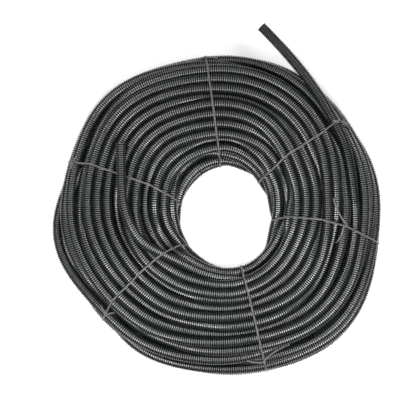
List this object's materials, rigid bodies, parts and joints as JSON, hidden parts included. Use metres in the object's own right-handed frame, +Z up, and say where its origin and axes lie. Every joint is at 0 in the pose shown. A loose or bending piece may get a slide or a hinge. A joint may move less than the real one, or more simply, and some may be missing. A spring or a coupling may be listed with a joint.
{
  "type": "coil of corrugated conduit",
  "caption": "Flat coil of black corrugated plastic conduit, tied round its section, with one free end off the rim and one lying over the turns.",
  "frame": {"origin": "on the axis of the coil, at the level of the floor that it lies on", "axes": "+Z up along the axis of the coil, +Y the way the mouth of the outer end points, +X away from the axis towards that end"},
  "size_m": [0.5048, 0.4918, 0.0907],
  "materials": {
    "conduit": "glossy black plastic",
    "tie": "dark grey plastic twine, satin"
  },
  "bodies": {
    "root": {"conduit": "conduit", "tie_north": "tie", "tie_outer_end": "tie", "tie_east": "tie", "tie_south": "tie", "tie_west": "tie", "tie_inner_end": "tie"}
  },
  "joints": []
}
